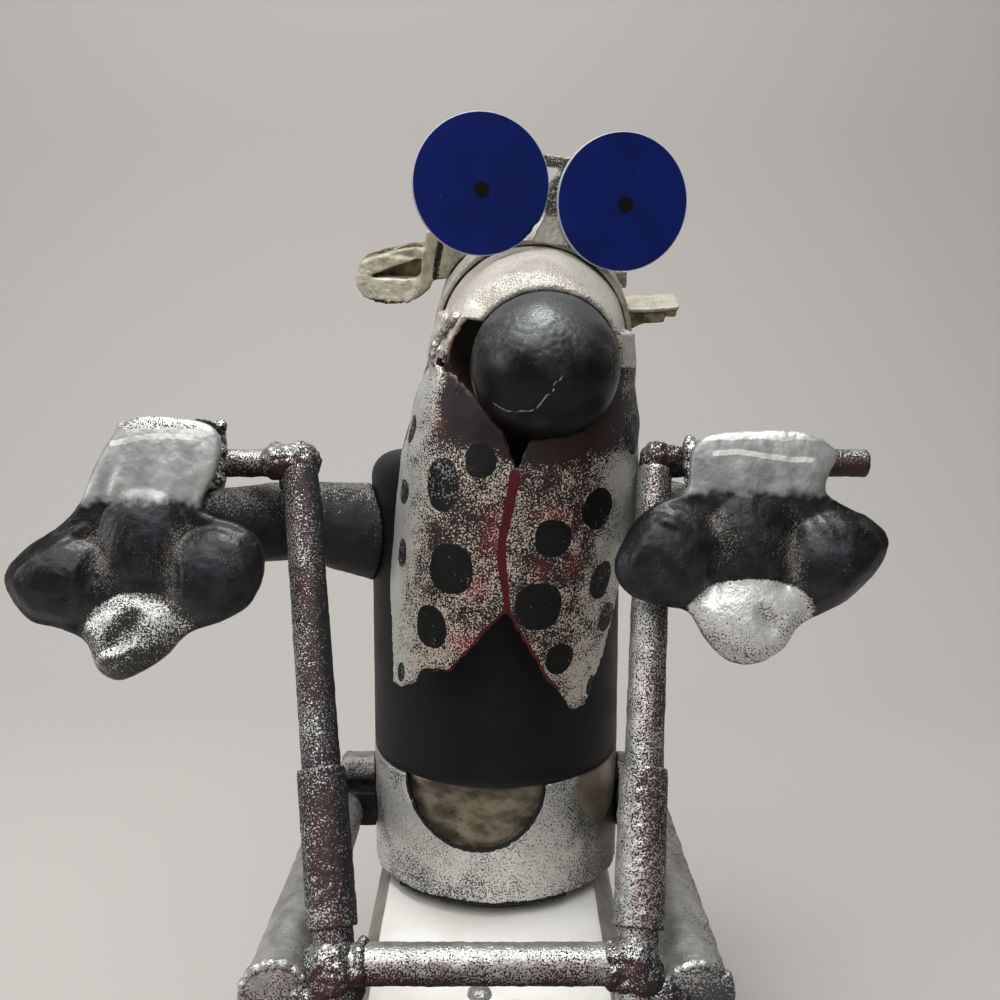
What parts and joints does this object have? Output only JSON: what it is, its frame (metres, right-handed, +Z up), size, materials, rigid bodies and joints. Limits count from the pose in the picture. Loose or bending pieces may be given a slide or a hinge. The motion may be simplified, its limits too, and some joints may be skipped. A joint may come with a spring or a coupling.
{
  "type": "scrap metal dog sculpture",
  "caption": "Sitting dog welded from scrap pipe, rod, sheet and a steel ball, holding tall handlebars with both paws, on a low base plate.",
  "frame": {"origin": "middle of the base plate's underside", "axes": "+Z up, the dog faces -Y, +X to the right as seen from the front"},
  "size_m": [0.2958, 0.281, 0.392],
  "materials": {
    "base_steel": "dark, worn satin",
    "seat_white": "satin white paint",
    "body_black": "matt black with fine scratches",
    "body_silver": "hammered silver over grey",
    "belly_brown": "worn brown with a soft shine",
    "handlebar_silver": "silver speckle over near-black",
    "leg_silver": "pale mottled silver",
    "arm_dark": "dark hammered silver",
    "hand_black": "dark hammered sheet with worn silver",
    "skull_bone": "pale bone and silver",
    "nose_charcoal": "dark charcoal, lumpy on top",
    "mask_silver": "silver speckle over pink, black spots, red stripe",
    "eye_blue": "matt navy with black pupils",
    "bracket_pale": "pale torch-cut plate"
  },
  "bodies": {
    "root": {"base_plate": "base_steel", "seat_post_front": "base_steel", "seat_post_rear": "base_steel", "seat": "seat_white", "seat_bolt": "handlebar_silver", "body_band": "body_silver", "body_core": "belly_brown", "body_drum": "body_black", "upright_left": "handlebar_silver", "grip_left": "handlebar_silver", "sleeve_left": "handlebar_silver", "upright_right": "handlebar_silver", "grip_right": "handlebar_silver", "sleeve_right": "handlebar_silver", "crossbar": "handlebar_silver", "thigh_left": "leg_silver", "hip_block_left": "body_black", "hip_boss_left": "leg_silver", "shin_left": "leg_silver", "foot_left": "hand_black", "thigh_right": "leg_silver", "hip_block_right": "body_black", "hip_boss_right": "leg_silver", "shin_right": "leg_silver", "foot_right": "hand_black", "hand_left": "hand_black", "upper_arm_left": "arm_dark", "forearm_left": "arm_dark", "hand_right": "hand_black", "upper_arm_right": "arm_dark", "forearm_right": "arm_dark", "skull": "skull_bone", "neck": "arm_dark", "nose_ball": "nose_charcoal", "face_mask": "mask_silver", "eye_left": "eye_blue", "eye_right": "eye_blue", "eye_bracket": "bracket_pale", "ear_left": "skull_bone", "ear_right": "skull_bone"}
  },
  "joints": []
}
